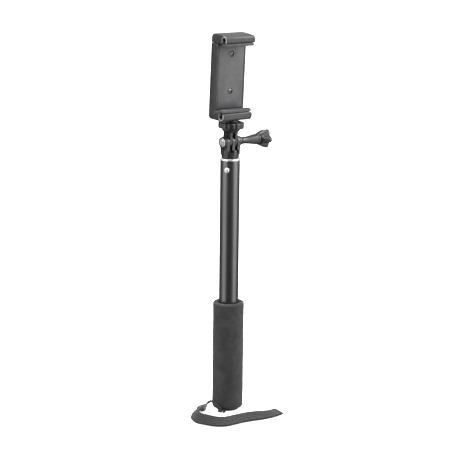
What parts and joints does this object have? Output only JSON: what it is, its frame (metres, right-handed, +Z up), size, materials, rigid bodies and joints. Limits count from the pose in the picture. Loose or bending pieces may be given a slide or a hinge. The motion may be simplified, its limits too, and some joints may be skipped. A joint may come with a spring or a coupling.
{
  "type": "selfie stick",
  "caption": "Telescoping hand pole with a foam grip and wrist strap, a tilting head and a spring-jaw phone clamp.",
  "frame": {"origin": "centre of the flat foot of the end cap, at the bottom of the pole", "axes": "+Z up the pole, +X along the hinge bolt towards the thumb knob, -Y the side the phone is held on"},
  "size_m": [0.0959, 0.0654, 0.3547],
  "materials": {
    "pole_chrome": "dark mirror-plated tube",
    "foam": "matt closed-cell foam",
    "cap_plastic": "satin",
    "bright_ring": "polished",
    "bush_plastic": "satin",
    "rivet_steel": "polished",
    "strap_cord": "braided cord",
    "ferrule_plastic": "satin",
    "webbing": "woven webbing",
    "head_plastic": "semi-gloss",
    "nut_steel": "bright plated",
    "clamp_plastic": "fine texture",
    "jaw_rubber": "matt ribbed",
    "insert_brass": "turned",
    "screw_steel": "plated",
    "spring_steel": "drawn wire"
  },
  "bodies": {
    "handle": {"outer_tube": "pole_chrome", "foam_grip": "foam", "end_cap": "cap_plastic", "collar_ring": "bright_ring", "guide_bush": "bush_plastic", "bush_rivet": "rivet_steel", "strap_string": "strap_cord", "strap_ferrule": "ferrule_plastic", "strap_webbing": "webbing"},
    "middle_stage": {"middle_tube": "pole_chrome", "middle_foot_bush": "bush_plastic", "middle_guide_bush": "bush_plastic"},
    "inner_stage": {"inner_tube": "pole_chrome", "inner_foot_bush": "bush_plastic", "head_base": "head_plastic", "head_pin": "rivet_steel", "hinge_nut": "nut_steel"},
    "thumb_screw": {"hinge_bolt": "nut_steel", "thumb_knob": "head_plastic"},
    "tilt_head": {"two_ear_adapter": "head_plastic", "tripod_stud": "nut_steel"},
    "lock_wheel": {"lock_wheel": "head_plastic"},
    "clamp": {"clamp_body": "clamp_plastic", "face_plate": "clamp_plastic", "lower_pad": "jaw_rubber", "threaded_insert": "insert_brass", "lower_plate_screw": "screw_steel", "upper_plate_screw": "screw_steel", "left_jaw_spring": "spring_steel", "right_jaw_spring": "spring_steel"},
    "jaw": {"upper_jaw": "clamp_plastic", "upper_pad": "jaw_rubber"}
  },
  "joints": [
    {"name": "middle_tube_slide", "type": "slide", "parent": "handle", "child": "middle_stage", "axis": [0, 0, 1], "range_m": [0, 0.19]},
    {"name": "inner_tube_slide", "type": "slide", "parent": "middle_stage", "child": "inner_stage", "axis": [0, 0, 1], "range_m": [0, 0.175]},
    {"name": "thumb_screw_turn", "type": "hinge", "parent": "inner_stage", "child": "thumb_screw", "pos_m": [0, 0, 0.2555], "axis": [1, 0, 0], "continuous": true},
    {"name": "head_tilt", "type": "hinge", "parent": "inner_stage", "child": "tilt_head", "pos_m": [0, 0, 0.2555], "axis": [1, 0, 0], "range_deg": [-93, 87]},
    {"name": "lock_wheel_turn", "type": "hinge", "parent": "tilt_head", "child": "lock_wheel", "pos_m": [0, 0, 0.2555], "axis": [0, -0.0523, 0.9986], "continuous": true},
    {"name": "clamp_swivel", "type": "hinge", "parent": "tilt_head", "child": "clamp", "pos_m": [0, 0, 0.2555], "axis": [0, -0.0523, 0.9986], "continuous": true},
    {"name": "jaw_slide", "type": "slide", "parent": "clamp", "child": "jaw", "axis": [0, -0.0523, 0.9986], "range_m": [0, 0.03], "stiffness_N_per_m": 200, "springref_m": -0.02, "deforming": ["left_jaw_spring", "right_jaw_spring"]}
  ]
}
